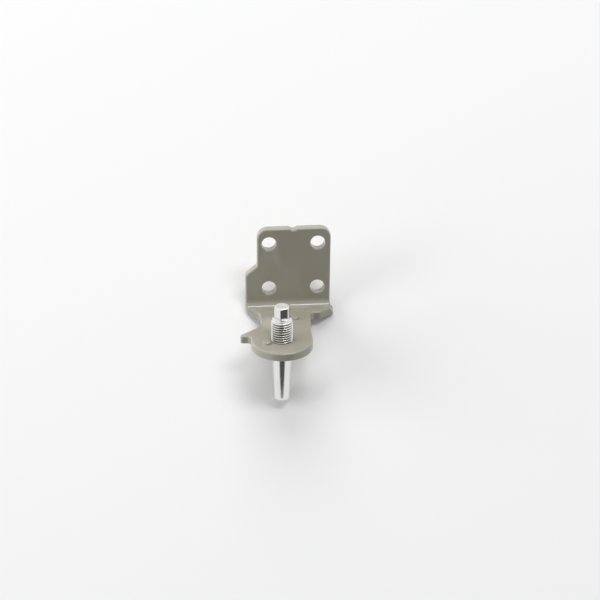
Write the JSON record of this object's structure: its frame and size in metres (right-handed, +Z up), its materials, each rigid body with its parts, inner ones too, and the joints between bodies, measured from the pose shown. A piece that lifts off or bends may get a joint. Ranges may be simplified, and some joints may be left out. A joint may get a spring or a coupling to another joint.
{
  "type": "fridge door hinge",
  "caption": "Folded sheet-steel door hinge bracket with a height-adjustable threaded hinge pin, for a fridge door.",
  "frame": {"origin": "centre of the four screw holes, on the back plate's mounting face", "axes": "+Y out of the mounting face towards the cabinet, +Z up along the hinge pin, away from the door it carries, +X to the right as seen from the pin's side"},
  "size_m": [0.036, 0.0398, 0.0559],
  "materials": {
    "painted_sheet": "satin grey-beige paint on sheet steel",
    "plated_steel": "bright zinc plate on turned steel"
  },
  "bodies": {
    "bracket": {"bracket": "painted_sheet"},
    "pin": {"hinge_pin": "plated_steel"}
  },
  "joints": [
    {"name": "pin_height", "type": "slide", "parent": "bracket", "child": "pin", "axis": [0, 0, 1], "range_m": [-0.006, 0.0025]}
  ]
}
